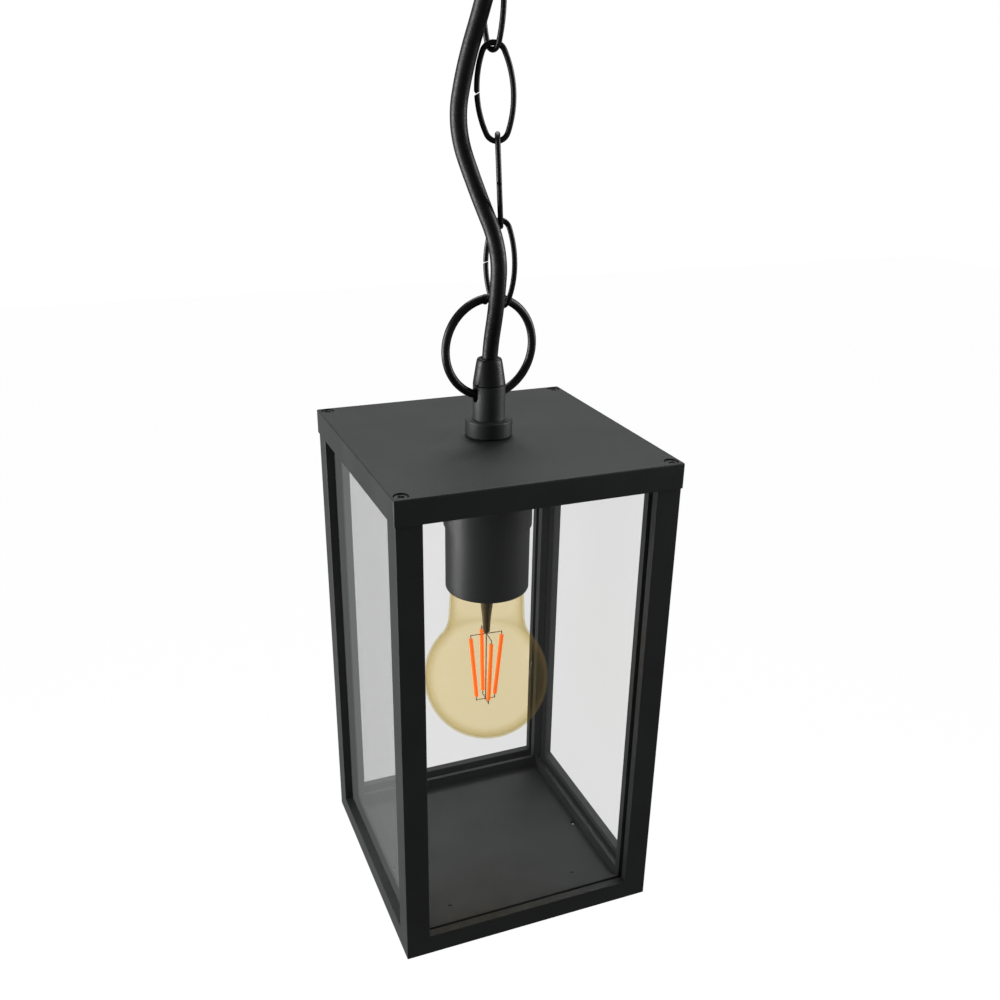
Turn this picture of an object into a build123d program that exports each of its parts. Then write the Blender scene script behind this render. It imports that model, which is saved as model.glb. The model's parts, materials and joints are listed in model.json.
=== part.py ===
"""Hanging lantern: square cap, four glazed sides, filament bulb, suspension ring, chain, cable and ceiling rose.

Millimetres, +Z up. The origin is the centre of the ceiling face. Heights in the lantern's own functions are measured
from the cap's top face and lowered to their place by hang().
"""

import math
import os

from build123d import *

# --- driving dimensions -------------------------------------------------------
DROP = 250.0  # ceiling to the cap's top face

CAP_SIDE = 125.0
CAP_H = 11.0
CAP_TOP_T = 3.5
CAP_ROUND = 0.7
POCKET_SIDE = 101.0

BOX_SIDE = 123.8
POST_W = 11.0
BOX_BOTTOM = -228.0
BASE_H = 10.0
FLOOR_T = 2.0
RIM_W = 9.1
LIP_W = 2.0
LIP_DROP = 2.0
DRAIN_X = 51.0
DRAIN_Y = -3.0
DRAIN_R = 1.4
DIMPLE_X = 33.0
DIMPLE_Y = 39.0

PANE_T = 3.0
PANE_INSET = 4.0
GROOVE_W = 3.3
POST_GROOVE = 2.5
GROOVE_UP = 2.8
GROOVE_DOWN = 6.0
PANE_TOP = -9.0
PANE_BOTTOM = -223.0
SEAL_W = 3.1

SCREW_XY = 58.2
RECESS_R = 3.2
RECESS_DEPTH = 2.0
SCREW_R = 1.45
SCREW_HOLE_R = 1.6
POST_HOLE_R = 1.5
BASE_SCREW_XY = 57.4

COLLAR_R = 10.4
COLLAR_H = 7.6
NECK_R = 7.1
NECK_TOP = 22.6
NIPPLE_R = 5.0
NIPPLE_BORE = 3.6
NIPPLE_TOP = 11.0
NIPPLE_BOTTOM = -13.5
CONE_TOP = 34.2
CONE_TOP_R = 5.3

RING_AZ = 6.5
RING_R = 20.8
RING_WIRE = 1.8
RING_Z = 38.6
SLOT_LOW = 15.4
SLOT_TOP = 21.5
SLOT_WIDTH = 4.7

LINK_HALF = 17.4
LINK_HALF_W = 7.1
LINK_END_R = 4.6
LINK_WIRE = 1.1
LINK_CUT = 0.32
LINK_PITCH_GAP = 2.45
RING_CONTACT = 4.5
RING_GAP = 0.4
LINK_AZ = {1: -78.75, 2: -21.75, 3: 68.25, 4: -54.75}
LINK_CUT_SIDE = {1: 1, 2: -1, 3: -1, 4: -1}
LINK_TOP_XY = {4: (4.4, 0.25), 3: (2.4, 0.1), 2: (0.0, 0.0), 1: (0.0, 0.0)}

HOOK_R = 7.0
HOOK_WIRE = 1.5
HOOK_AZ = 11.25
HOOK_GAP = 0.3
SHANK_R = 2.0

CABLE_R = 3.4
SHEATH_BOTTOM = 27.3
SHEATH_TOP = 229.0
CORE_R = 1.05
BORE_ALONG = 1.45
BORE_OVER = -3.75
EARTH_OVER = 3.9
RIGHT = (0.9288, -0.3706)
FRONT = (-0.3706, -0.9288)
CABLE_EXIT = (3.0, 13.0)

HOLDER_R = 19.5
HOLDER_TOP_R = 20.3
HOLDER_SEAM = -42.0
HOLDER_BOTTOM = -74.3
HOLDER_WALL = 1.7

GLOBE_R = 30.4
GLOBE_Z = -123.8
GLASS_T = 0.8
BULB_NECK_R = 17.4
FILAMENT_TOP_R = 7.8
FILAMENT_LOW_R = 4.7
FILAMENT_TOP = -102.0
FILAMENT_LOW = -134.5
FILAMENT_R = 1.0
FILAMENT_AZ = -3.75

ROSE_R = 45.0
ROSE_H = 29.0
ROSE_T = 1.2
BRACKET_L = 80.0
BRACKET_W = 26.0
BRACKET_T = 2.0
FIX_X = 33.0
FIX_R = 2.5


# --- helpers ------------------------------------------------------------------
def hang(shape):
    """Lowers a shape built from the cap's top face to its place under the ceiling."""
    return Pos(0, 0, -DROP) * shape


def cyl(r, z0, z1, x=0.0, y=0.0):
    return Pos(x, y, (z0 + z1) / 2) * Cylinder(r, abs(z1 - z0))


def block(x0, x1, y0, y1, z0, z1):
    return Pos((x0 + x1) / 2, (y0 + y1) / 2, (z0 + z1) / 2) * Box(x1 - x0, y1 - y0, z1 - z0)


def turn(points):
    """A solid of revolution about Z from its half section, given as (radius, height) pairs."""
    outline = Polyline(*[(r, 0, z) for r, z in points], close=True)
    return revolve(make_face(outline), Axis.Z)


def rod(path, r):
    """A round rod of radius r along a path."""
    return sweep((path ^ 0) * Circle(r), path=path)


def bent(points, r, label):
    """A round rod along corner points, each corner eased by the largest arc that its shorter run allows."""
    at = [Vector(*p) for p in points]
    edges = []
    start = at[0]
    for a, b, c in zip(at, at[1:], at[2:]):
        into = (b - a).normalized()
        out = (c - b).normalized()
        angle = math.acos(max(-1.0, min(1.0, into.dot(out))))
        cut = 0.45 * min((b - a).length, (c - b).length)
        if angle < 1e-4:
            raise ValueError(label + ": three points in line")
        print(label, "turn", round(math.degrees(angle), 1), "radius", round(cut / math.tan(angle / 2), 1))
        first = b - into * cut
        last = b + out * cut
        edges.append(Line(start, first))
        edges.append(Edge.make_tangent_arc(first, into, last))
        start = last
    edges.append(Line(start, at[-1]))
    path = Wire(edges)
    made = rod(path, r)
    print(label, "length", round(path.length, 1), "volume/section*length",
          round(made.volume / (math.pi * r * r * path.length), 4))
    return made


def four(shape_at):
    """The four corner copies of a shape made by shape_at(sign_x, sign_y)."""
    return [shape_at(sx, sy) for sx in (-1, 1) for sy in (-1, 1)]


def plan(u, v):
    """Plan position of a point u to the right and v to the front, as seen facing the lantern's cable side."""
    return (u * RIGHT[0] + v * FRONT[0], u * RIGHT[1] + v * FRONT[1])


# --- lantern: cap, box --------------------------------------------------------
def side_grooves(depth_from, depth_to):
    """The four straight slots over the panes, between two heights."""
    mid = BOX_SIDE / 2 - PANE_INSET - PANE_T / 2
    reach = BOX_SIDE / 2 - POST_W + POST_GROOVE
    long_x = block(-reach, reach, -GROOVE_W / 2, GROOVE_W / 2, depth_from, depth_to)
    out = []
    for k in range(4):
        out.append(Rot(0, 0, 90 * k) * Pos(0, -mid, 0) * long_x)
    return out


def top_cap():
    body = Pos(0, 0, -CAP_H / 2) * Box(CAP_SIDE, CAP_SIDE, CAP_H)
    body = fillet(body.edges().filter_by(Axis.Z), CAP_ROUND)
    body = fillet(body.faces().sort_by(Axis.Z)[-1].edges(), CAP_ROUND)
    half = POCKET_SIDE / 2
    body -= block(-half, half, -half, half, -CAP_H, -CAP_TOP_T)
    body -= cyl(NIPPLE_R + 0.1, -CAP_H, 1)
    for groove in side_grooves(-CAP_H, -CAP_H + GROOVE_UP):
        body -= groove
    for sx, sy in ((-1, -1), (-1, 1), (1, -1), (1, 1)):
        body -= cyl(RECESS_R, -RECESS_DEPTH, 1, sx * SCREW_XY, sy * SCREW_XY)
        body -= cyl(SCREW_HOLE_R, -CAP_H - 1, 1, sx * SCREW_XY, sy * SCREW_XY)
    return body


def cap_screw(sx, sy):
    x = sx * SCREW_XY
    y = sy * SCREW_XY
    head = cyl(2.9, -RECESS_DEPTH, -0.5, x, y)
    head = fillet(head.edges().sort_by(Axis.Z)[-1], 0.6)
    slot = Pos(x, y, -0.6) * Rot(0, 0, 25) * Box(3.6, 0.8, 1.2)
    cross = Pos(x, y, -0.6) * Rot(0, 0, 115) * Box(3.6, 0.8, 1.2)
    return head - slot - cross + cyl(SCREW_R, -30, -RECESS_DEPTH, x, y)


def corner_post(k):
    """Corner post number k, counted a quarter turn at a time from the back right."""
    outer = BOX_SIDE / 2
    inner = outer - POST_W
    z0 = BOX_BOTTOM + BASE_H
    body = block(inner, outer, inner, outer, z0, -CAP_H)
    body = fillet(body.edges().filter_by(Axis.Z), 0.35)
    g0 = outer - PANE_INSET - PANE_T / 2 - GROOVE_W / 2
    body -= block(inner - 1, inner + POST_GROOVE, g0, g0 + GROOVE_W, z0, -CAP_H)
    body -= block(g0, g0 + GROOVE_W, inner - 1, inner + POST_GROOVE, z0, -CAP_H)
    body -= cyl(POST_HOLE_R, -34, -CAP_H, SCREW_XY, SCREW_XY)
    body -= cyl(POST_HOLE_R, z0, z0 + 22, BASE_SCREW_XY, BASE_SCREW_XY)
    return Rot(0, 0, 90 * k) * body


def base_tray():
    outer = BOX_SIDE / 2
    top = BOX_BOTTOM + BASE_H
    body = block(-outer, outer, -outer, outer, BOX_BOTTOM, top)
    body = fillet(body.edges().filter_by(Axis.Z), 0.35)
    inside = outer - RIM_W
    body -= block(-inside, inside, -inside, inside, BOX_BOTTOM + FLOOR_T, top + 1)
    clear = outer - POST_W
    lip_out = inside + LIP_W + 0.1
    for k in range(4):
        lip = block(-clear, clear, -lip_out, -inside + 1, top - LIP_DROP, top + 1)
        body -= Rot(0, 0, 90 * k) * lip
    for groove in side_grooves(top - GROOVE_DOWN, top + 1):
        body -= groove
    for sx in (-1, 1):
        body -= cyl(DRAIN_R, BOX_BOTTOM - 1, top, sx * DRAIN_X, DRAIN_Y)
        body -= cyl(1.2, BOX_BOTTOM + FLOOR_T - 0.4, top, sx * DIMPLE_X, -DIMPLE_Y)
    for sx, sy in ((-1, -1), (-1, 1), (1, -1), (1, 1)):
        x = sx * BASE_SCREW_XY
        y = sy * BASE_SCREW_XY
        body -= cyl(SCREW_HOLE_R, BOX_BOTTOM - 1, top + 1, x, y)
        body -= cyl(3.1, BOX_BOTTOM - 1, BOX_BOTTOM + 2.0, x, y)
    return body


def base_screw(sx, sy):
    x = sx * BASE_SCREW_XY
    y = sy * BASE_SCREW_XY
    head = cyl(2.9, BOX_BOTTOM + 0.3, BOX_BOTTOM + 2.0, x, y)
    slot = Pos(x, y, BOX_BOTTOM + 0.5) * Rot(0, 0, 35) * Box(3.6, 0.8, 1.0)
    cross = Pos(x, y, BOX_BOTTOM + 0.5) * Rot(0, 0, 125) * Box(3.6, 0.8, 1.0)
    return head - slot - cross + cyl(SCREW_R, BOX_BOTTOM + 2.0, BOX_BOTTOM + 28, x, y)


def pane(k):
    mid = BOX_SIDE / 2 - PANE_INSET - PANE_T / 2
    half = BOX_SIDE / 2 - POST_W + POST_GROOVE - 0.3
    sheet = block(-half, half, -mid - PANE_T / 2, -mid + PANE_T / 2, PANE_BOTTOM, PANE_TOP)
    return Rot(0, 0, 90 * k) * sheet


def seal(k, z0, z1):
    mid = BOX_SIDE / 2 - PANE_INSET - PANE_T / 2
    half = BOX_SIDE / 2 - POST_W + POST_GROOVE - 0.4
    return Rot(0, 0, 90 * k) * block(-half, half, -mid - SEAL_W / 2, -mid + SEAL_W / 2, z0, z1)


# --- gland, ring and cores ----------------------------------------------------
def across_ring(along, over, z):
    """A point given along the ring's own plane and square to it."""
    a = math.radians(RING_AZ)
    return (along * math.cos(a) - over * math.sin(a), along * math.sin(a) + over * math.cos(a), z)


def gland_collar():
    body = cyl(COLLAR_R, 0, COLLAR_H)
    body = chamfer(body.edges().sort_by(Axis.Z)[0], 0.8)
    body = fillet(body.edges().sort_by(Axis.Z)[-1], 0.5)
    return body - cyl(NIPPLE_R + 0.05, -1, COLLAR_H + 1)


def ring_slot():
    """Round-ended passage through the neck for the ring, with room for its curve and its tilt."""
    section = SlotOverall(SLOT_TOP - SLOT_LOW, SLOT_WIDTH)
    passage = extrude(section, COLLAR_R, both=True)
    return Rot(0, 0, RING_AZ) * Pos(0, 0, (SLOT_TOP + SLOT_LOW) / 2) * Rot(0, 90, 0) * passage


def gland_neck():
    body = cyl(NECK_R, COLLAR_H, NECK_TOP)
    body = fillet(body.edges().sort_by(Axis.Z)[-1], 0.3)
    body -= cyl(5.65, NECK_TOP - 0.7, NECK_TOP + 1)
    body -= cyl(NIPPLE_R, COLLAR_H - 1, 14.2)
    body -= ring_slot()
    for along, over in ((BORE_ALONG, BORE_OVER), (-BORE_ALONG, BORE_OVER), (0, EARTH_OVER)):
        x, y, _ = across_ring(along, over, 0)
        body -= cyl(1.28, 13, NECK_TOP, x, y)
        body -= cyl(1.4, 20.6, NECK_TOP, x, y)
    return body


def gland_nipple():
    return cyl(NIPPLE_R, NIPPLE_BOTTOM, NIPPLE_TOP) - cyl(NIPPLE_BORE, NIPPLE_BOTTOM - 1, NIPPLE_TOP + 1)


def hex_nut(flats, bore, z0, z1):
    body = Pos(0, 0, z0) * extrude(RegularPolygon(flats / 2, 6, major_radius=False), z1 - z0)
    return body - cyl(bore, z0 - 1, z1 + 1)


def strain_relief():
    mid_r = NECK_R - (NECK_R - CONE_TOP_R) * (27.0 - NECK_TOP) / (CONE_TOP - NECK_TOP) - 1.5
    body = turn([
        (5.0, NECK_TOP - 0.65), (5.6, NECK_TOP - 0.65), (5.6, NECK_TOP), (NECK_R, NECK_TOP),
        (NECK_R - 0.1, NECK_TOP + 0.8), (CONE_TOP_R, CONE_TOP - 1.6), (CONE_TOP_R - 0.5, CONE_TOP - 0.5),
        (CONE_TOP_R - 1.2, CONE_TOP), (CABLE_R + 0.03, CONE_TOP), (CABLE_R + 0.03, 27.0),
        (mid_r, 26.2), (5.0, 23.6),
    ])
    return body


def suspension_ring():
    return Pos(0, 0, RING_Z) * Rot(0, 0, RING_AZ) * Rot(90, 0, 0) * Torus(RING_R, RING_WIRE)


def core(side, over_top, over_bore, over_low, end, label):
    points = [
        across_ring(side * 1.15, over_top, SHEATH_BOTTOM - 0.75),
        across_ring(side * BORE_ALONG, over_bore, 22.6),
        across_ring(side * (BORE_ALONG + 0.001), over_bore, 14.0),
        across_ring(side * 1.2, over_low, 10.3),
        across_ring(side * 1.201, over_low, -15.0),
        (end[0], end[1], -24.0),
        (end[0], end[1], -31.5),
    ]
    return bent(points, CORE_R, label)


# --- lampholder ---------------------------------------------------------------
def holder_cover():
    body = turn([
        (NIPPLE_R + 0.1, -7.05), (12.0, -7.05), (18.0, -9.6), (HOLDER_TOP_R, -14.0), (HOLDER_TOP_R, HOLDER_SEAM),
        (18.5, HOLDER_SEAM), (18.5, -35.0), (17.6, -35.0), (17.6, -33.5), (18.5, -33.0), (18.5, -14.6),
        (16.6, -11.2), (11.4, -8.9), (NIPPLE_R + 0.1, -8.9),
    ])
    return body


def holder_skirt():
    inner = HOLDER_R - HOLDER_WALL
    body = turn([
        (17.0, -37.05), (18.4, -37.05), (18.4, HOLDER_SEAM - 0.05), (HOLDER_R, HOLDER_SEAM - 0.05),
        (HOLDER_R, HOLDER_BOTTOM + 1.0), (HOLDER_R - 0.3, HOLDER_BOTTOM + 0.3), (HOLDER_R - 0.9, HOLDER_BOTTOM),
        (inner + 0.4, HOLDER_BOTTOM), (inner, HOLDER_BOTTOM + 0.5), (inner, -44.0), (17.0, -43.0),
    ])
    return body


HOLDER_POLES = ((8.0, -3.0), (-8.0, -3.0), (0.0, 9.0))


def holder_insert():
    body = turn([
        (0, -33.0), (16.6, -33.0), (16.6, -35.05), (18.2, -35.05), (18.2, -37.0), (16.6, -37.0),
        (16.4, -68.0), (14.6, -68.0), (14.6, -48.0), (0, -48.0),
    ])
    body -= cyl(1.2, -49, -32)
    return body


def thread_sleeve():
    return turn([(14.0, -49.0), (14.5, -49.0), (14.5, -67.5), (14.0, -67.5)])


def centre_contact():
    body = block(-5, 5, -2, 2, -48.4, -48.0)
    return body + cyl(2.0, -49.2, -48.4) + cyl(1.1, -48.0, -40.0)


def pole(x, y):
    way = math.degrees(math.atan2(y, x))
    body = Pos(x, y, -30.0) * Rot(0, 0, way) * Box(6, 6, 6)
    body -= cyl(CORE_R + 0.12, -31.8, -26, x, y)
    body -= Pos(x, y, -29.6) * Rot(0, 0, way) * Rot(0, 90, 0) * Pos(0, 0, 4) * Cylinder(0.95, 5.2)
    return body


def pole_screw(x, y):
    way = math.degrees(math.atan2(y, x))
    shank = Pos(0, 0, 2.35) * Cylinder(0.9, 1.7)
    head = Pos(0, 0, 3.5) * Cylinder(1.5, 0.8)
    slot = Pos(0, 0, 3.9) * Box(0.5, 3.2, 0.5)
    return Pos(x, y, -29.6) * Rot(0, 0, way) * Rot(0, 90, 0) * (shank + head - slot)


def earth_strap():
    body = cyl(8.0, -9.7, -8.95) - cyl(NIPPLE_R + 0.1, -11, -7)
    body += block(-2.5, 2.5, 7.1, 7.9, -11.3, -9.7)
    body += block(-2.5, 2.5, 7.1, 14.2, -11.3, -10.7)
    body += block(-2.5, 2.5, 13.4, 14.2, -33.0, -10.7)
    return body + block(-2.5, 2.5, 12.0, 14.2, -33.0, -32.3)


# --- bulb ---------------------------------------------------------------------
def glass_profile(offset):
    """The bulb's outline as edges from the neck to the bottom, moved inward by offset."""
    lift = math.radians(39)
    r = GLOBE_R - offset
    join = (r * math.cos(lift), GLOBE_Z + r * math.sin(lift))
    neck_r = BULB_NECK_R - offset
    hollow = (neck_r + 0.75, -89.6)
    return join, neck_r, hollow


def glass_half(offset, top):
    join, neck_r, hollow = glass_profile(offset)
    r = GLOBE_R - offset
    low = (0, GLOBE_Z - r)
    side = (r, GLOBE_Z)
    up = Vector(0, 0, 1)
    neck_top = (neck_r, -75.2)
    shoulder = (13.6 - offset, top)
    sphere = ThreePointArc((low[0], 0, low[1]), (r * math.cos(0.9), 0, GLOBE_Z - r * math.sin(0.9)),
                           (side[0], 0, side[1]))
    rise = ThreePointArc((side[0], 0, side[1]),
                         (r * math.cos(math.radians(20)), 0, GLOBE_Z + r * math.sin(math.radians(20))),
                         (join[0], 0, join[1]))
    lean = math.radians(39)
    waist = Spline((join[0], 0, join[1]), (hollow[0], 0, hollow[1]),
                   tangents=[(-math.sin(lean), 0, math.cos(lean)), (-0.045, 0, 1.0)])
    neck = Line((hollow[0], 0, hollow[1]), (neck_top[0], 0, neck_top[1]))
    over = Spline((neck_top[0], 0, neck_top[1]), (shoulder[0], 0, shoulder[1]),
                  tangents=[(0, 0, 1.0), (-0.6, 0, 0.8)])
    close = Polyline((shoulder[0], 0, shoulder[1]), (0, 0, top), (0, 0, low[1]))
    outline = sphere + rise + waist + neck + over + close
    return revolve(make_face(outline), Axis.Z)


def bulb_glass():
    return glass_half(0.0, -70.2) - glass_half(GLASS_T, -69.0)


def bulb_cap():
    points = [(12.6, -53.0)]
    z = -54.0
    while z > -68.0:
        points += [(13.35, z - 0.9), (12.75, z - 2.72)]
        z -= 3.63
    points += [(13.4, -70.0), (13.9, -70.3), (13.9, -71.6), (13.3, -71.6), (13.3, -70.6), (12.3, -70.2)]
    points += [(12.3, -53.6), (5.6, -50.9), (5.6, -50.5), (6.2, -50.5)]
    return turn(points)


def bulb_insulator():
    return turn([(2.6, -49.9), (5.5, -49.9), (5.5, -51.4), (9.0, -53.4), (2.6, -53.4)])


def bulb_tip():
    return turn([(0, -49.3), (2.6, -49.3), (4.3, -49.8), (2.5, -49.85), (2.5, -51.0), (0, -51.0)])


def bulb_stem():
    return turn([
        (0, -76.0), (8.0, -76.0), (7.0, -76.9), (3.4, -80.0), (2.7, -86.0), (2.1, -91.0), (1.8, -95.5),
        (1.7, -98.5), (1.2, -99.4), (0, -99.6),
    ])


def filament_ends():
    out = []
    for k in range(4):
        a = math.radians(FILAMENT_AZ + 90 * k)
        top = (FILAMENT_TOP_R * math.cos(a), FILAMENT_TOP_R * math.sin(a), FILAMENT_TOP)
        low = (FILAMENT_LOW_R * math.cos(a), FILAMENT_LOW_R * math.sin(a), FILAMENT_LOW)
        out.append((top, low))
    return out


def bulb_filaments():
    return [rod(Wire([Edge.make_line(top, low)]), FILAMENT_R) for top, low in filament_ends()]


def straight(a, b, r):
    """A round wire between two points."""
    way = Vector(*b) - Vector(*a)
    return Plane(origin=a, z_dir=way).location * Pos(0, 0, way.length / 2) * Cylinder(r, way.length)


def bulb_supports():
    wire = 0.3
    arm = 0.22
    high = FILAMENT_TOP + 2.0
    deep = FILAMENT_LOW - 2.2
    body = straight((0, 0, -98.0), (0, 0, deep - 0.6), wire)
    for top, low in filament_ends():
        body += straight((0, 0, high), (top[0], top[1], high), arm)
        body += straight((top[0], top[1], high + 0.4), (top[0], top[1], FILAMENT_TOP + 0.2), arm + 0.03)
        body += straight((0, 0, deep), (low[0], low[1], deep), arm)
        body += straight((low[0], low[1], deep - 0.4), (low[0], low[1], FILAMENT_LOW - 0.2), arm + 0.03)
    return body


def bulb_driver():
    body = block(-7, 7, -0.6, 0.6, -70.0, -55.0)
    body += block(-5, 1, 0.6, 4.0, -68.0, -61.0)
    return body + cyl(2.2, -60.0, -56.5, 3.5, -2.9) + block(1.8, 5.2, -1.2, 0, -60.0, -56.5)


# --- chain --------------------------------------------------------------------
def ring_contact():
    """Centre of the lowest link's bottom bend, where it carries the ring."""
    reach = RING_R - (RING_WIRE + LINK_WIRE + RING_GAP)
    z = RING_Z + math.sqrt(reach ** 2 - RING_CONTACT ** 2)
    return across_ring(RING_CONTACT, 0, z)


def link_ends():
    """Bottom and top bend centres of each link, from the ring up to the hook."""
    ends = {}
    bottom = ring_contact()
    for n in (4, 3, 2, 1):
        tx, ty = LINK_TOP_XY[n]
        flat = (tx - bottom[0]) ** 2 + (ty - bottom[1]) ** 2
        top = (tx, ty, bottom[2] + math.sqrt((2 * LINK_HALF) ** 2 - flat))
        ends[n] = (bottom, top)
        bottom = (tx, ty, top[2] - LINK_PITCH_GAP)
    return ends


def chain_link(n):
    """One oval link: four tangent arcs, with a slanting cut halfway up one side."""
    side_r = ((LINK_HALF - LINK_END_R) ** 2 - LINK_END_R ** 2 + LINK_HALF_W ** 2) / (2 * (LINK_HALF_W - LINK_END_R))
    cz = LINK_HALF - LINK_END_R
    off = side_r - LINK_HALF_W
    swing = math.degrees(math.atan2(cz, off))
    arcs = []
    with BuildPart() as made:
        with BuildLine(Plane.XZ) as line:
            CenterArc((-off, 0), side_r, -swing, 2 * swing)
            CenterArc((0, cz), LINK_END_R, swing, 180 - 2 * swing)
            CenterArc((off, 0), side_r, 180 - swing, 2 * swing)
            CenterArc((0, -cz), LINK_END_R, 180 + swing, 180 - 2 * swing)
        with BuildSketch(Plane(origin=(LINK_HALF_W, 0, 0), z_dir=(0, 0, 1))):
            Circle(LINK_WIRE)
        sweep(path=line.wires()[0])
    arcs = made.part
    side = LINK_CUT_SIDE[n]
    cut = Pos(side * LINK_HALF_W, 0, 0) * Rot(0, side * 24, 0) * Box(6, 6, LINK_CUT)
    notch = Pos(side * (LINK_HALF_W + LINK_WIRE), 0, 0) * Rot(0, 45 - side * 12, 0) * Box(1.1, 6, 1.1)
    shape = arcs - cut - notch
    bottom, top = link_ends()[n]
    axis = (Vector(*top) - Vector(*bottom)).normalized()
    az = math.radians(LINK_AZ[n])
    wide = Vector(math.cos(az), math.sin(az), 0)
    wide = (wide - axis * wide.dot(axis)).normalized()
    centre = (Vector(*top) + Vector(*bottom)) * 0.5
    return Plane(origin=centre, x_dir=wide, z_dir=axis).location * shape


# --- cable --------------------------------------------------------------------
CABLE_WAY = (  # right, front, height of each corner
    (0.0, 0.0, 37.0),
    (2.9, 5.6, 58.0),
    (3.9, 6.4, 80.0),
    (-5.9, 2.6, 102.0),
    (-14.4, 0.6, 125.0),
    (-10.6, 1.4, 147.0),
    (-3.6, 5.2, 168.0),
    (1.6, 10.4, 188.0),
)


def cable():
    points = [(0, 0, SHEATH_BOTTOM)]
    for u, v, z in CABLE_WAY:
        x, y = plan(u, v)
        points.append((x, y, z))
    x, y = plan(*CABLE_EXIT)
    points.append((x, y, 208.0))
    points.append((x, y + 0.01, SHEATH_TOP))
    return bent(points, CABLE_R, "cable")


# --- ceiling ------------------------------------------------------------------
def ceiling_bracket():
    body = Pos(0, 0, -BRACKET_T / 2) * Box(BRACKET_L, BRACKET_W, BRACKET_T)
    body = fillet(body.edges().filter_by(Axis.Z), 3)
    body += cyl(6.0, -9.0, -BRACKET_T)
    body -= cyl(SHANK_R + 0.03, -10, -1.0)
    for sx in (-1, 1):
        body -= cyl(FIX_R, -3, 1, sx * FIX_X, 0)
    return body - cyl(1.3, -3, 1, BLOCK_MID, BLOCK_FIX_Y)


def ceiling_rose():
    x, y = plan(*CABLE_EXIT)
    body = turn([
        (0, -ROSE_H + ROSE_T), (ROSE_R - 5, -ROSE_H + ROSE_T), (ROSE_R - 2.4, -ROSE_H + 2.3),
        (ROSE_R - ROSE_T, -ROSE_H + 5), (ROSE_R - ROSE_T, 0), (ROSE_R, 0), (ROSE_R, -ROSE_H + 4.6),
        (ROSE_R - 1.4, -ROSE_H + 1.4), (ROSE_R - 4.6, -ROSE_H), (0, -ROSE_H),
    ])
    return body - cyl(SHANK_R + 0.3, -ROSE_H - 1, -ROSE_H + 3) - cyl(5.0, -ROSE_H - 1, -ROSE_H + 3, x, y)


def hook_bottom():
    return link_ends()[1][1][2] - (LINK_WIRE + HOOK_WIRE + HOOK_GAP) - DROP


def rose_hook():
    centre_z = hook_bottom() + HOOK_R
    with BuildPart() as made:
        with BuildLine(Plane.XZ) as line:
            CenterArc((0, 0), HOOK_R, 90, 315)
        with BuildSketch(Plane(origin=(0, 0, HOOK_R), z_dir=(-1, 0, 0))):
            Circle(HOOK_WIRE)
        sweep(path=line.wires()[0])
    curl = Pos(0, 0, centre_z) * Rot(0, 0, HOOK_AZ) * made.part
    top = centre_z + HOOK_R
    shank = cyl(SHANK_R, top - 0.2, -1.2)
    return curl + shank + Pos(0, 0, top) * Sphere(2.2)


def hook_lock_nut():
    return hex_nut(7.0, SHANK_R + 0.03, -12.2, -9.05)


def rose_collar():
    body = cyl(6.0, -ROSE_H - 4.2, -ROSE_H - 0.05)
    body = fillet(body.edges().sort_by(Axis.Z)[0], 0.8)
    return body - cyl(SHANK_R + 0.03, -ROSE_H - 6, -ROSE_H + 1)


def cord_grip():
    x, y = plan(*CABLE_EXIT)
    body = cyl(4.9, -ROSE_H - 0.05, -ROSE_H + 6.2, x, y)
    flange = cyl(6.6, -ROSE_H - 3.2, -ROSE_H - 0.05, x, y)
    flange = fillet(flange.edges().sort_by(Axis.Z)[0], 0.8)
    return body + flange - cyl(CABLE_R + 0.05, -ROSE_H - 5, -ROSE_H + 8, x, y)


def cord_grip_nut():
    x, y = plan(*CABLE_EXIT)
    return Pos(x, y, 0) * hex_nut(13.4, 4.95, -ROSE_H + ROSE_T + 0.05, -ROSE_H + ROSE_T + 3.6)


BLOCK_X = (8.5, 26.5)
BLOCK_Y = (-12.9, 2.9)
BLOCK_MID = 17.5
BLOCK_ROWS = (-10.4, -6.6, -2.8)
BLOCK_SCREWS = (13.0, 22.0)
BLOCK_FIX_Y = 0.6
BLOCK_AXIS_Z = -8.0


def terminal_block():
    body = block(BLOCK_X[0], BLOCK_X[1], BLOCK_Y[0], BLOCK_Y[1], -13.0, -BRACKET_T)
    for y in BLOCK_ROWS:
        body -= Pos(BLOCK_MID, y, BLOCK_AXIS_Z) * Rot(0, 90, 0) * Cylinder(1.7, 20)
        for x in BLOCK_SCREWS:
            body -= cyl(1.25, -14, BLOCK_AXIS_Z, x, y)
    return body - cyl(1.1, -12, 0, BLOCK_MID, BLOCK_FIX_Y) - cyl(2.0, -14, -9.0, BLOCK_MID, BLOCK_FIX_Y)


def terminal_bars():
    out = []
    for y in BLOCK_ROWS:
        bar = Pos(BLOCK_MID, y, BLOCK_AXIS_Z) * Rot(0, 90, 0) * Cylinder(1.65, 15)
        bar -= Pos(BLOCK_MID, y, BLOCK_AXIS_Z) * Rot(0, 90, 0) * Cylinder(1.2, 16)
        for x in BLOCK_SCREWS:
            bar -= cyl(1.0, -14, BLOCK_AXIS_Z, x, y)
        out.append(bar)
    return out


def terminal_screws():
    out = []
    for y in BLOCK_ROWS:
        for x in BLOCK_SCREWS:
            slot = Pos(x, y, -12.4) * Box(0.5, 3, 0.6)
            out.append(cyl(0.95, -12.4, -9.15, x, y) - slot)
    return out


def block_screw():
    return cyl(1.05, -9.0, -1.2, BLOCK_MID, BLOCK_FIX_Y) + cyl(1.8, -10.4, -9.0, BLOCK_MID, BLOCK_FIX_Y)


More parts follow.
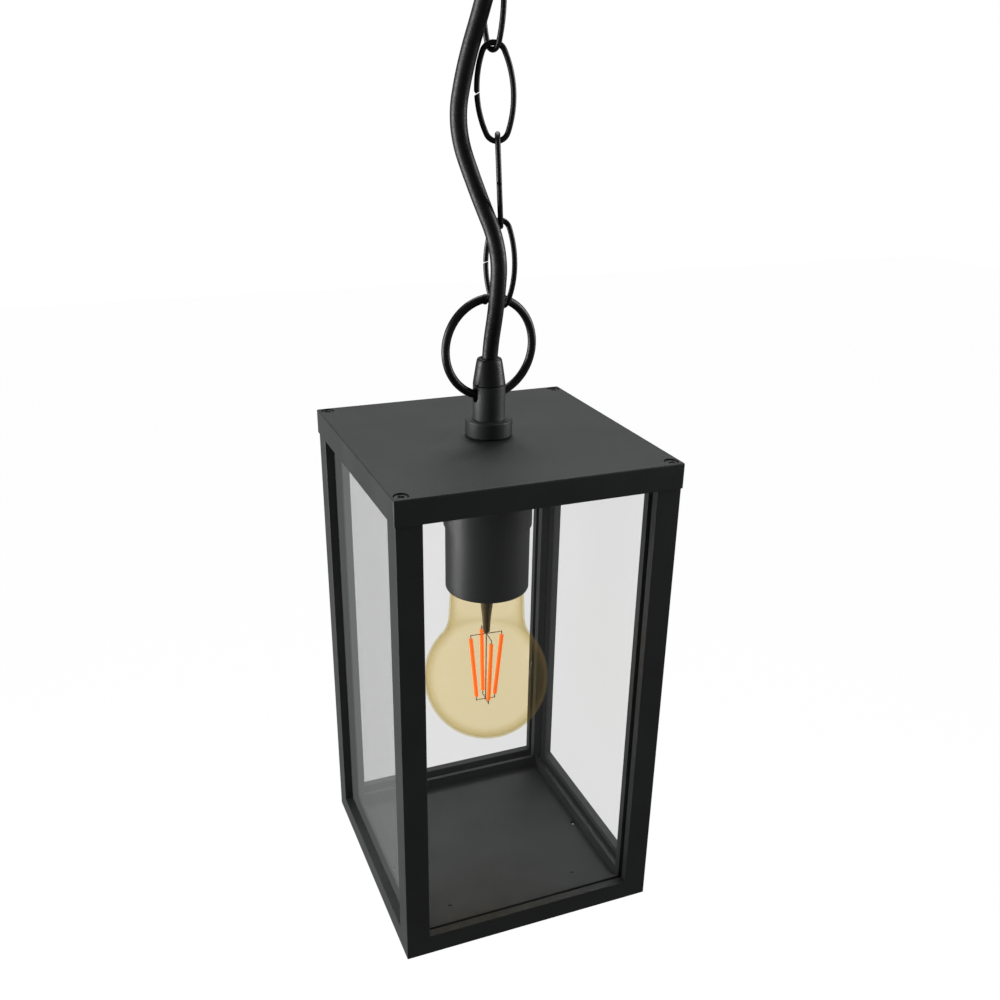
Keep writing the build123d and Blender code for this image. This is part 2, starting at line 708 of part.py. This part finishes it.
def rose_core(k, label):
    x, y = plan(*CABLE_EXIT)
    row = BLOCK_ROWS[k]
    ahead, aside, top = ((-0.65, -1.15, -8.5), (1.3, 0.0, -12.5), (-0.65, 1.15, -8.5))[k]
    dx = ahead * 0.86 - aside * 0.51
    dy = ahead * 0.51 + aside * 0.86
    start = SHEATH_TOP - DROP + 0.1
    points = [
        (x + dx, y + dy, start),
        (x + dx, y + dy + 0.01, top),
        (8.6, row, BLOCK_AXIS_Z),
        (14.2, row + 0.001, BLOCK_AXIS_Z),
    ]
    return bent(points, CORE_R, label)


# --- export -------------------------------------------------------------------
def save(name, shape):
    if isinstance(shape, list):
        shape = Compound(children=shape) if len(shape) > 1 else shape[0]
    export_step(shape, "parts/" + name + ".step")
    print("saved", name, "solids", len(shape.solids()), "volume", round(shape.volume, 1))


def main():
    os.makedirs("parts", exist_ok=True)
    save("top_cap", hang(top_cap()))
    save("cap_screws", [hang(s) for s in four(cap_screw)])
    for k, name in enumerate(("back_right", "back_left", "front_left", "front_right")):
        save("post_" + name, hang(corner_post(k)))
    save("base_tray", hang(base_tray()))
    save("base_screws", [hang(s) for s in four(base_screw)])
    for k, name in enumerate(("front", "right", "back", "left")):
        save("pane_" + name, hang(pane(k)))
    save("cap_seals", [hang(seal(k, PANE_TOP, PANE_TOP + 0.8)) for k in range(4)])
    save("base_seals", [hang(seal(k, PANE_BOTTOM - 1.0, PANE_BOTTOM)) for k in range(4)])

    save("gland_collar", hang(gland_collar()))
    save("gland_neck", hang(gland_neck()))
    save("gland_nipple", hang(gland_nipple()))
    save("gland_washer", hang(cyl(8.5, -4.3, -CAP_TOP_T) - cyl(NIPPLE_R + 0.1, -6, -2)))
    save("gland_lock_nut", hang(hex_nut(15.0, NIPPLE_R, -7.0, -4.3)))
    save("strain_relief", hang(strain_relief()))
    save("suspension_ring", hang(suspension_ring()))
    save("core_live", hang(core(1, -1.0, BORE_OVER, -1.7, HOLDER_POLES[0], "core_live")))
    save("core_neutral", hang(core(-1, -1.0, BORE_OVER, -1.7, HOLDER_POLES[1], "core_neutral")))
    save("core_earth", hang(core(0, 1.3, EARTH_OVER, 2.0, HOLDER_POLES[2], "core_earth")))

    save("holder_cover", hang(holder_cover()))
    save("holder_nut", hang(hex_nut(14.0, NIPPLE_R, -12.4, -9.75)))
    save("holder_skirt", hang(holder_skirt()))
    save("holder_insert", hang(holder_insert()))
    save("thread_sleeve", hang(thread_sleeve()))
    save("centre_contact", hang(centre_contact()))
    save("holder_terminals", [hang(pole(*p)) for p in HOLDER_POLES])
    save("holder_terminal_screws", [hang(pole_screw(*p)) for p in HOLDER_POLES])
    save("earth_strap", hang(earth_strap()))

    save("bulb_glass", hang(bulb_glass()))
    save("bulb_cap", hang(bulb_cap()))
    save("bulb_insulator", hang(bulb_insulator()))
    save("bulb_tip", hang(bulb_tip()))
    save("bulb_stem", hang(bulb_stem()))
    save("bulb_filaments", [hang(f) for f in bulb_filaments()])
    save("bulb_supports", hang(bulb_supports()))
    save("bulb_driver", hang(bulb_driver()))

    for n in (1, 2, 3, 4):
        save("chain_link_" + str(n), hang(chain_link(n)))
    save("cable", hang(cable()))

    save("ceiling_bracket", ceiling_bracket())
    save("ceiling_rose", ceiling_rose())
    save("rose_hook", rose_hook())
    save("hook_lock_nut", hook_lock_nut())
    save("rose_collar", rose_collar())
    save("cord_grip", cord_grip())
    save("cord_grip_nut", cord_grip_nut())
    save("terminal_block", terminal_block())
    save("terminal_bars", terminal_bars())
    save("terminal_screws", terminal_screws())
    save("block_screw", block_screw())
    for k, name in enumerate(("live", "neutral", "earth")):
        save("rose_core_" + name, rose_core(k, "rose_core_" + name))
    print("link ends", {n: [tuple(round(v, 2) for v in p) for p in e] for n, e in link_ends().items()})
    print("hook bottom", round(hook_bottom(), 2))


if __name__ == "__main__":
    main()
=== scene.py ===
# %% [markdown]
# # A hanging lantern
# A square metal lantern with four clear panes hangs from a ring and a short chain. A cable runs beside the chain
# into a small gland on the cap, and a filament bulb hangs inside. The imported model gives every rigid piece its
# place. This script adds the cable, the finishes and the pieces that need a smoother shape than the model has.

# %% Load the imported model
import json
import math

import bmesh
import bpy
from mathutils import Matrix, Vector


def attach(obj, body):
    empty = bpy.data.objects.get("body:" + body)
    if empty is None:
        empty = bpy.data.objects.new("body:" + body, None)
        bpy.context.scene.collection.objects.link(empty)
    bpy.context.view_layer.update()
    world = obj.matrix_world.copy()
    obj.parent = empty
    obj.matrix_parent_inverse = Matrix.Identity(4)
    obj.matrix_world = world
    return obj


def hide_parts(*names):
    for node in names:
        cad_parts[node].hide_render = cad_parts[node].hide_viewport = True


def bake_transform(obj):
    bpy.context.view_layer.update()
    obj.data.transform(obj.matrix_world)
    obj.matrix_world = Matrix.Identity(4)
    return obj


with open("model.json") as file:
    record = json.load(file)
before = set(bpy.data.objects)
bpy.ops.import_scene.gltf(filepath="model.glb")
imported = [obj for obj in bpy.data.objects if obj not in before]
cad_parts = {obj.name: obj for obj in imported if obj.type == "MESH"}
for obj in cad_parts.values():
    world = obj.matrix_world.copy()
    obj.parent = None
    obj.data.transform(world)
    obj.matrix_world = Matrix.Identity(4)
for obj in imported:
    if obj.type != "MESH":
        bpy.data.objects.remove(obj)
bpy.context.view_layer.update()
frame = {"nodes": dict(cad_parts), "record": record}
nodes = frame["nodes"]
MM = 0.001

# %% [markdown]
# ## The camera
# The lantern is seen from a little above and to the left, from about half a metre away, so its far edges get
# clearly smaller. The three axes below are the camera's own right, down and forward directions.

# %% Camera
VIEW_RIGHT = Vector((0.92873, -0.37054, 0.01301))
VIEW_DOWN = Vector((-0.14477, -0.3947, -0.90733))
VIEW_AHEAD = Vector((0.34134, 0.84078, -0.42021))
VIEW_FROM = Vector((-0.16233, -0.40861, -0.10743))

lens = bpy.data.cameras.new("camera")
lens.lens = 37.456
lens.sensor_width = 36.0
lens.shift_x = 0.00575
lens.shift_y = 0.06
lens.clip_start = 0.01
camera = bpy.data.objects.new("camera", lens)
bpy.context.scene.collection.objects.link(camera)
turned = Matrix((VIEW_RIGHT, -VIEW_DOWN, -VIEW_AHEAD)).transposed()
camera.matrix_world = Matrix.Translation(VIEW_FROM) @ turned.to_4x4()
bpy.context.scene.camera = camera
print("camera at", [round(v, 3) for v in VIEW_FROM])

# %% [markdown]
# ## Helpers
# Small pieces are made in a bmesh and then given an object of their own at the origin. Keeping the place in the
# mesh means that patterns on object coordinates sit still when the piece moves.

# %% Helpers for new pieces
CAP_TOP = -250.0 * MM  # height of the cap's top face
SPIN_AXIS = Vector((0, 0, 1))


def keep(bm, name, material, smooth=True):
    """Turns a bmesh into an object at the origin with one material."""
    mesh = bpy.data.meshes.new(name)
    bm.to_mesh(mesh)
    bm.free()
    mesh.materials.append(material)
    for face in mesh.polygons:
        face.use_smooth = smooth
    piece = bpy.data.objects.new(name, mesh)
    bpy.context.scene.collection.objects.link(piece)
    print("made", name, "with", len(mesh.polygons), "faces")
    return piece


def lathe(outline, steps):
    """Spins a half outline, given as (radius, height) in millimetres from the cap's top, round the lantern's axis."""
    bm = bmesh.new()
    corners = [bm.verts.new((r * MM, 0, CAP_TOP + z * MM)) for r, z in outline]
    edges = [bm.edges.new(pair) for pair in zip(corners, corners[1:] + corners[:1])]
    bmesh.ops.spin(bm, geom=corners + edges, cent=(0, 0, 0), axis=SPIN_AXIS, dvec=(0, 0, 0),
                   angle=2 * math.pi, steps=steps, use_merge=True)
    bmesh.ops.remove_doubles(bm, verts=bm.verts, dist=1e-6)
    bmesh.ops.recalc_face_normals(bm, faces=bm.faces)
    return bm


# %% [markdown]
# ## Finishes
# Each finish starts from the same shader. The helper makes it and returns the node tree, so that a finish can add
# its own grain, colour change or fine bump in a few lines.

# %% A material helper
def finish(name, colour, roughness, metallic=0.0, specular=0.5):
    """A new material with the shader's own sockets set, and its nodes to build on."""
    material = bpy.data.materials.new(name)
    material.use_nodes = True
    shader = material.node_tree.nodes["Principled BSDF"]
    shader.inputs["Base Color"].default_value = (*colour, 1)
    shader.inputs["Roughness"].default_value = roughness
    shader.inputs["Metallic"].default_value = metallic
    shader.inputs["Specular IOR Level"].default_value = specular
    return material, shader


def add(material, kind, **settings):
    """Adds a node, with its inputs and properties by name."""
    node = material.node_tree.nodes.new(kind)
    for key, value in settings.items():
        if key in node.inputs:
            node.inputs[key].default_value = value
        else:
            setattr(node, key, value)
    return node


def wire(material, source, target):
    """Joins one node's output to another's input."""
    material.node_tree.links.new(source, target)


def grain(material, scale, detail=2.0, roughness=0.5):
    """Noise on object coordinates at a scale in features per metre."""
    place = add(material, "ShaderNodeTexCoord")
    noise = add(material, "ShaderNodeTexNoise", Scale=scale, Detail=detail, Roughness=roughness)
    wire(material, place.outputs["Object"], noise.inputs["Vector"])
    return noise


def bump(material, shader, height, strength, distance):
    """Raises fine relief from a height value. The distance is in metres."""
    node = add(material, "ShaderNodeBump", Strength=strength, Distance=distance)
    wire(material, height, node.inputs["Height"])
    wire(material, node.outputs["Normal"], shader.inputs["Normal"])
    return node


def spread(material, source, target, low, high):
    """Maps a noise value onto a range for a roughness or another number."""
    node = add(material, "ShaderNodeMapRange")
    node.inputs["From Min"].default_value = 0.3
    node.inputs["From Max"].default_value = 0.7
    node.inputs["To Min"].default_value = low
    node.inputs["To Max"].default_value = high
    wire(material, source, node.inputs["Value"])
    wire(material, node.outputs["Result"], target)


def tint(material, source, target, dark, light):
    """Mixes two colours by a noise value."""
    ramp = add(material, "ShaderNodeValToRGB")
    ramp.color_ramp.elements[0].position = 0.35
    ramp.color_ramp.elements[0].color = (*dark, 1)
    ramp.color_ramp.elements[1].position = 0.68
    ramp.color_ramp.elements[1].color = (*light, 1)
    wire(material, source, ramp.inputs["Fac"])
    wire(material, ramp.outputs["Color"], target)


# %% [markdown]
# ### Powder coat
# The frame is powder coated: a matt black with a slight green-grey cast. Close up it is a skin of fine round
# pimples about half a millimetre apart, so a fine noise drives the bump and a second, slower noise varies the tone.

# %% Powder coat
powder, skin = finish("powder_coat", (0.03, 0.033, 0.032), 0.5, specular=0.42)
pimples = grain(powder, 1700.0, detail=2.5)
bump(powder, skin, pimples.outputs["Fac"], 0.55, 0.00016)
patches = grain(powder, 45.0, detail=3.0)
tint(powder, patches.outputs["Fac"], skin.inputs["Base Color"], (0.016, 0.0185, 0.0175), (0.023, 0.026, 0.025))
spread(powder, pimples.outputs["Fac"], skin.inputs["Roughness"], 0.42, 0.56)

# %% [markdown]
# ### Black steel, moulded plastic and rubber
# The chain and ring are smooth blackened wire, with soft streaks of gloss. The lampholder is plain moulded plastic,
# and the cone over the cable is a soft rubber.

# %% Dark finishes
steel, skin = finish("black_steel", (0.005, 0.005, 0.0052), 0.34, specular=0.35)
streaks = grain(steel, 420.0, detail=3.0)
spread(steel, streaks.outputs["Fac"], skin.inputs["Roughness"], 0.28, 0.44)
bump(steel, skin, streaks.outputs["Fac"], 0.12, 0.0001)

plastic, skin = finish("holder_plastic", (0.022, 0.0225, 0.0235), 0.36)
orange_peel = grain(plastic, 900.0)
bump(plastic, skin, orange_peel.outputs["Fac"], 0.12, 0.00008)
spread(plastic, orange_peel.outputs["Fac"], skin.inputs["Roughness"], 0.38, 0.48)

rubber, skin = finish("gland_rubber", (0.006, 0.0062, 0.0065), 0.42, specular=0.35)
fine = grain(rubber, 1300.0)
bump(rubber, skin, fine.outputs["Fac"], 0.15, 0.00006)
spread(rubber, fine.outputs["Fac"], skin.inputs["Roughness"], 0.35, 0.48)

sheath, skin = finish("cable_sheath", (0.004, 0.004, 0.0042), 0.45, specular=0.32)
drawn = grain(sheath, 650.0)
bump(sheath, skin, drawn.outputs["Fac"], 0.15, 0.00006)
spread(sheath, drawn.outputs["Fac"], skin.inputs["Roughness"], 0.36, 0.52)

seal, skin = finish("seal_rubber", (0.012, 0.012, 0.012), 0.7)
bump(seal, skin, grain(seal, 800.0).outputs["Fac"], 0.2, 0.0001)

# %% [markdown]
# ### Metals inside and out of the way
# Zinc-plated steel, brass contacts and the bulb's aluminium cap each get a faint brushed or cloudy variation, since
# plated metal is never one even tone.


# %% Metals and wires
def plated(name, dark, light, rough_low, rough_high, scale):
    """A metal whose tone and gloss vary like a plated or brushed surface."""
    material, shader = finish(name, light, rough_low, metallic=1.0)
    cloud = grain(material, scale, detail=4.0)
    tint(material, cloud.outputs["Fac"], shader.inputs["Base Color"], dark, light)
    spread(material, cloud.outputs["Fac"], shader.inputs["Roughness"], rough_low, rough_high)
    bump(material, shader, cloud.outputs["Fac"], 0.08, 0.00005)
    return material


def moulded(name, colour, roughness):
    """A surface of one colour with a slightly uneven gloss."""
    material, shader = finish(name, colour, roughness)
    cloud = grain(material, 700.0)
    spread(material, cloud.outputs["Fac"], shader.inputs["Roughness"], roughness - 0.05, roughness + 0.06)
    bump(material, shader, cloud.outputs["Fac"], 0.1, 0.00005)
    return material


zinc = plated("zinc_steel", (0.42, 0.42, 0.43), (0.62, 0.62, 0.64), 0.28, 0.42, 300.0)
brass = plated("brass", (0.6, 0.42, 0.18), (0.78, 0.58, 0.3), 0.25, 0.38, 300.0)
screw = plated("screw_steel", (0.05, 0.05, 0.05), (0.1, 0.1, 0.1), 0.35, 0.5, 500.0)
lamp_metal = plated("bulb_metal", (0.6, 0.6, 0.6), (0.82, 0.82, 0.82), 0.22, 0.36, 400.0)
insert = moulded("insert_plastic", (0.55, 0.55, 0.53), 0.45)
grip = moulded("grip_plastic", (0.025, 0.025, 0.025), 0.42)
insulator = moulded("bulb_insulator", (0.02, 0.02, 0.03), 0.2)
board = moulded("circuit_board", (0.06, 0.2, 0.09), 0.4)
brown = moulded("core_brown", (0.12, 0.04, 0.02), 0.42)
blue = moulded("core_blue", (0.03, 0.1, 0.42), 0.42)
green = moulded("core_green", (0.16, 0.4, 0.06), 0.42)

# %% [markdown]
# ### Clear panes
# Flat clear sheet barely bends light, so the panes are mostly see-through with a mirror-like face. The alpha rises
# towards grazing angles, as a real sheet gets more reflective there. The left pane has a stronger veil than the
# other three: it is the same glass, and its stronger veil is a painted reflection.

# %% Pane glass
def clear_sheet(name, least, most):
    """Clear sheet whose veil goes from least, seen square on, to most at a grazing angle."""
    material, shader = finish(name, (0.2, 0.205, 0.205), 0.04)
    shader.inputs["IOR"].default_value = 1.49
    facing = add(material, "ShaderNodeLayerWeight", Blend=0.35)
    veil = add(material, "ShaderNodeMapRange")
    veil.inputs["To Min"].default_value = least
    veil.inputs["To Max"].default_value = most
    wire(material, facing.outputs["Facing"], veil.inputs["Value"])
    wire(material, veil.outputs["Result"], shader.inputs["Alpha"])
    return material


pane_glass = clear_sheet("pane_glass", 0.065, 0.12)
# The left pane's copy of the pane glass has a stronger veil, which is a painted reflection, not a different glass.
pane_left_painted_reflection = clear_sheet("pane_glass_left_painted_reflection", 0.12, 0.46)

# %% [markdown]
# ### Amber bulb glass
# The bulb's glass is tinted a pale amber. Looking straight through it there is little colour, and at its edge the
# eye looks along the wall, so the tint is deeper there. The stem inside is clear glass with a grey-brown veil, and
# the filaments glow a deep orange.

# %% Bulb glass
amber, skin = finish("bulb_glass", (0.78, 0.62, 0.3), 0.03)
skin.inputs["IOR"].default_value = 1.5
skin.inputs["Alpha"].default_value = 0.22
edge = add(amber, "ShaderNodeLayerWeight", Blend=0.5)
ramp = add(amber, "ShaderNodeValToRGB")
ramp.color_ramp.elements[0].position = 0.45
ramp.color_ramp.elements[0].color = (0.99, 0.95, 0.835, 1)
ramp.color_ramp.elements[1].position = 0.97
ramp.color_ramp.elements[1].color = (0.86, 0.79, 0.55, 1)
wire(amber, edge.outputs["Facing"], ramp.inputs["Fac"])
clear = add(amber, "ShaderNodeBsdfTransparent")
wire(amber, ramp.outputs["Color"], clear.inputs["Color"])
rim = add(amber, "ShaderNodeMath", operation="POWER")
rim.inputs[1].default_value = 4.0
wire(amber, edge.outputs["Facing"], rim.inputs[0])
gloss = add(amber, "ShaderNodeMapRange")
gloss.inputs["To Min"].default_value = 0.05
gloss.inputs["To Max"].default_value = 0.6
wire(amber, rim.outputs["Value"], gloss.inputs["Value"])
body = add(amber, "ShaderNodeMixShader")
wire(amber, gloss.outputs["Result"], body.inputs["Fac"])
wire(amber, clear.outputs["BSDF"], body.inputs[1])
wire(amber, skin.outputs["BSDF"], body.inputs[2])
wire(amber, body.outputs["Shader"], amber.node_tree.nodes["Material Output"].inputs["Surface"])

stem_glass, skin = finish("stem_glass", (0.5, 0.46, 0.36), 0.06)
skin.inputs["IOR"].default_value = 1.5
across = add(stem_glass, "ShaderNodeLayerWeight", Blend=0.5)
veil = add(stem_glass, "ShaderNodeMapRange")
veil.inputs["To Min"].default_value = 0.1
veil.inputs["To Max"].default_value = 0.62
wire(stem_glass, across.outputs["Facing"], veil.inputs["Value"])
wire(stem_glass, veil.outputs["Result"], skin.inputs["Alpha"])

glow, skin = finish("filament", (0.95, 0.2, 0.02), 0.6)
skin.inputs["Emission Color"].default_value = (1.0, 0.17, 0.02, 1)
skin.inputs["Emission Strength"].default_value = 0.75
bump(glow, skin, grain(glow, 900.0).outputs["Fac"], 0.2, 0.0001)

# %% [markdown]
# ## Finishes on the imported pieces
# Every node of the imported model gets the finish that the record's slot names. The left pane then gets a copy of the
# pane glass whose stronger veil is a painted reflection, and the bulb's stem gets a glass of its own.

# %% Assign finishes
FINISHES = {
    "powder_coat": powder, "black_steel": steel, "screw_steel": screw, "zinc_steel": zinc, "pane_glass": pane_glass,
    "seal_rubber": seal, "gland_rubber": rubber, "cable_sheath": sheath, "core_brown": brown, "core_blue": blue,
    "core_green": green, "holder_plastic": plastic, "insert_plastic": insert, "grip_plastic": grip, "brass": brass,
    "bulb_glass": amber, "bulb_metal": lamp_metal, "bulb_insulator": insulator, "filament": glow,
    "circuit_board": board,
}
for entry in frame["record"]["subparts"]:
    part = nodes[entry["node"]]
    part.data.materials.clear()
    part.data.materials.append(FINISHES[entry["material_slot"]])
# The left pane's stronger veil is a painted reflection.
nodes["pane_left"].data.materials[0] = pane_left_painted_reflection
nodes["bulb_stem"].data.materials[0] = stem_glass
print("finishes on", len(nodes), "nodes")

# %% [markdown]
# ## The cable
# A round cable, a little under seven millimetres thick, leaves the cone, bows one way and then the other beside the
# chain, and goes into the ceiling rose. One smooth line carries it. The line is cut into five stretches, one for
# each joint of the chain.

# %% The cable's line
CABLE_R = 3.4 * MM
TO_RIGHT = Vector((0.9288, -0.3706, 0))
TO_FRONT = Vector((-0.3706, -0.9288, 0))
CABLE_ROUTE = (  # right, front and height of each corner, in millimetres from the cap's top
    (0.0, 0.0, 27.3), (0.0, 0.0, 37.0), (2.9, 5.6, 58.0), (3.9, 6.4, 80.0), (-5.9, 2.6, 102.0), (-14.4, 0.6, 125.0),
    (-10.6, 1.4, 147.0), (-3.6, 5.2, 168.0), (1.6, 10.4, 188.0), (3.0, 13.0, 208.0), (3.0, 13.0, 229.0),
)


def route_point(right, front, height):
    """A route corner as a place in the model, in metres."""
    return (TO_RIGHT * right + TO_FRONT * front) * MM + Vector((0, 0, CAP_TOP + height * MM))


def smooth_line(corners):
    """Points along a smooth curve whose control points are the corners."""
    curve = bpy.data.curves.new("line", "CURVE")
    curve.dimensions = "3D"
    spline = curve.splines.new("NURBS")
    spline.points.add(len(corners) - 1)
    for point, corner in zip(spline.points, corners):
        point.co = (*corner, 1)
    spline.order_u = 3
    spline.use_endpoint_u = True
    spline.resolution_u = 24
    holder = bpy.data.objects.new("line", curve)
    bpy.context.scene.collection.objects.link(holder)
    bpy.context.view_layer.update()
    mesh = bpy.data.meshes.new_from_object(holder)
    points = [v.co.copy() for v in mesh.vertices]
    bpy.data.meshes.remove(mesh)
    bpy.data.objects.remove(holder)
    bpy.data.curves.remove(curve)
    return points


def line_length(points):
    """The length of a line of points."""
    return sum((b - a).length for a, b in zip(points, points[1:]))


def tube(name, points, radius, material):
    """A round closed tube along points."""
    curve = bpy.data.curves.new(name, "CURVE")
    curve.dimensions = "3D"
    curve.bevel_depth = radius
    curve.bevel_resolution = 8
    curve.use_fill_caps = True
    spline = curve.splines.new("POLY")
    spline.points.add(len(points) - 1)
    for point, place in zip(spline.points, points):
        point.co = (*place, 1)
    holder = bpy.data.objects.new(name + "_line", curve)
    bpy.context.scene.collection.objects.link(holder)
    bpy.context.view_layer.update()
    mesh = bpy.data.meshes.new_from_object(holder)
    bpy.data.objects.remove(holder)
    bpy.data.curves.remove(curve)
    mesh.name = name
    mesh.materials.clear()
    mesh.materials.append(material)
    for face in mesh.polygons:
        face.use_smooth = True
    piece = bpy.data.objects.new(name, mesh)
    bpy.context.scene.collection.objects.link(piece)
    print("made", name, "with", len(mesh.polygons), "faces")
    return piece


cable_line = smooth_line([route_point(*corner) for corner in CABLE_ROUTE])
print("cable line", round(line_length(cable_line) * 1000, 1), "mm")

# %% The cable's five stretches
CHAIN_BODIES = ("ring", "link_4", "link_3", "link_2", "link_1", "ceiling")
STRETCHES = len(CHAIN_BODIES) - 1


def cut_line(points, parts):
    """The line in parts of equal length, neighbours sharing their end point."""
    share = line_length(points) / parts
    out = [[points[0]]]
    run = 0.0
    for a, b in zip(points, points[1:]):
        step = (b - a).length
        while len(out) < parts and run + step >= share * len(out):
            cut = a.lerp(b, (share * len(out) - run) / step)
            out[-1].append(cut)
            out.append([cut])
        run += step
        if (out[-1][-1] - b).length > 1e-6:
            out[-1].append(b)
    return out


for number, points in enumerate(cut_line(cable_line, STRETCHES)):
    piece = tube("cable_stretch_" + str(number + 1), points, CABLE_R, sheath)
    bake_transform(piece)
    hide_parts("cable")

# %% [markdown]
# ## The rubber cone
# The cone over the cable's end is soft, and the cable leans with the ring. The cone is spun from its half outline
# with extra rings up its height.

# %% Rubber cone
CONE_OUTLINE = (
    (5.0, 21.95), (5.6, 21.95), (5.6, 22.6), (6.9, 22.62), (7.1, 22.9), (7.05, 23.5), (6.88, 24.6), (6.64, 26.2),
    (6.38, 27.9), (6.1, 29.7), (5.82, 31.4), (5.58, 32.7), (5.38, 33.5), (5.05, 34.0), (4.55, 34.2), (3.75, 34.2),
    (3.42, 33.9), (3.42, 31.0), (3.42, 29.0), (3.42, 27.0), (4.5, 26.0), (5.0, 23.8),
)
cone = keep(lathe(CONE_OUTLINE, steps=64), "strain_relief_cone", rubber)
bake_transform(cone)
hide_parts("strain_relief")

# %% [markdown]
# ## The weld on the ring
# The ring is bent from one length of wire, and its ends meet in a small weld near the top. The weld is a low lump,
# so a ball is flattened a little along the wire and sunk into it.

# %% Ring weld
RING_R = 20.8
RING_HEIGHT = 38.6
WELD_SINK = 0.25  # how far the weld's centre lies inward of the wire's centre line
RING_TURN = math.radians(6.5)
WELD_ANGLE = math.radians(97)
bm = bmesh.new()
bmesh.ops.create_uvsphere(bm, u_segments=32, v_segments=20, radius=2.15 * MM)
bmesh.ops.scale(bm, verts=bm.verts, vec=(0.72, 0.96, 1.0))
weld_spot = Vector((math.cos(RING_TURN), math.sin(RING_TURN), 0)) * ((RING_R - WELD_SINK) * math.cos(WELD_ANGLE) * MM)
weld_spot.z = CAP_TOP + (RING_HEIGHT + (RING_R - WELD_SINK) * math.sin(WELD_ANGLE)) * MM
bmesh.ops.rotate(bm, verts=bm.verts, cent=(0, 0, 0), matrix=Matrix.Rotation(RING_TURN, 3, "Z"))
bmesh.ops.translate(bm, verts=bm.verts, vec=weld_spot)
weld = keep(bm, "ring_weld", steel)
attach(weld, "ring")

# %% [markdown]
# ## Light and background
# The lantern is shown in a bright white studio. A soft light above and behind gives the cap its grey sheen, a
# stronger one on the left brightens the left sides, and a weaker one stands on the right. Little light comes from
# the front, so the front faces stay nearly black. Diffuse and glossy rays see a dimmer room than the eye does.

# %% Studio
WHITE = (1.0, 1.0, 1.0, 1.0)
world = bpy.data.worlds.new("studio")
bpy.context.scene.world = world
world.use_nodes = True
air = world.node_tree
sky = air.nodes["Background"]
sky.inputs["Color"].default_value = WHITE
sky.inputs["Strength"].default_value = 1.0
dim = air.nodes.new("ShaderNodeBackground")
dim.inputs["Color"].default_value = WHITE
dim.inputs["Strength"].default_value = 0.14
path = air.nodes.new("ShaderNodeLightPath")
either = air.nodes.new("ShaderNodeMath")
either.operation = "MAXIMUM"
mix = air.nodes.new("ShaderNodeMixShader")
air.links.new(path.outputs["Is Diffuse Ray"], either.inputs[0])
air.links.new(path.outputs["Is Glossy Ray"], either.inputs[1])
air.links.new(either.outputs["Value"], mix.inputs["Fac"])
air.links.new(sky.outputs["Background"], mix.inputs[1])
air.links.new(dim.outputs["Background"], mix.inputs[2])
air.links.new(mix.outputs["Shader"], air.nodes["World Output"].inputs["Surface"])

floor_white, skin = finish("studio_floor", (0.02, 0.02, 0.02), 0.95, specular=0.0)
skin.inputs["Emission Color"].default_value = WHITE
skin.inputs["Emission Strength"].default_value = 0.985
bm = bmesh.new()
bmesh.ops.create_grid(bm, x_segments=2, y_segments=2, size=6.0)
bmesh.ops.translate(bm, verts=bm.verts, vec=(0, 0, -1.3))
floor = keep(bm, "studio_floor", floor_white, smooth=False)
floor.visible_diffuse = False
floor.visible_glossy = False
floor.visible_shadow = False


def softbox(name, place, aim, size, power):
    """A rectangular area light that faces a point. The power is in watts."""
    light = bpy.data.lights.new(name, "AREA")
    light.shape = "RECTANGLE"
    light.size = size[0]
    light.size_y = size[1]
    light.energy = power
    lamp = bpy.data.objects.new(name, light)
    bpy.context.scene.collection.objects.link(lamp)
    lamp.location = place
    way = Vector(aim) - Vector(place)
    lamp.rotation_euler = way.to_track_quat("-Z", "Y").to_euler()


softbox("key_above", (0.35, 0.95, 1.15), (0, 0, -0.25), (1.3, 0.9), 17.0)
softbox("left_side", (-1.4, 0.35, -0.3), (0, 0, -0.35), (0.8, 1.2), 38.0)
softbox("right_side", (1.3, -0.25, 0.05), (0, 0, -0.35), (0.5, 1.0), 16.0)
scene = bpy.context.scene
scene.view_settings.view_transform = "Standard"
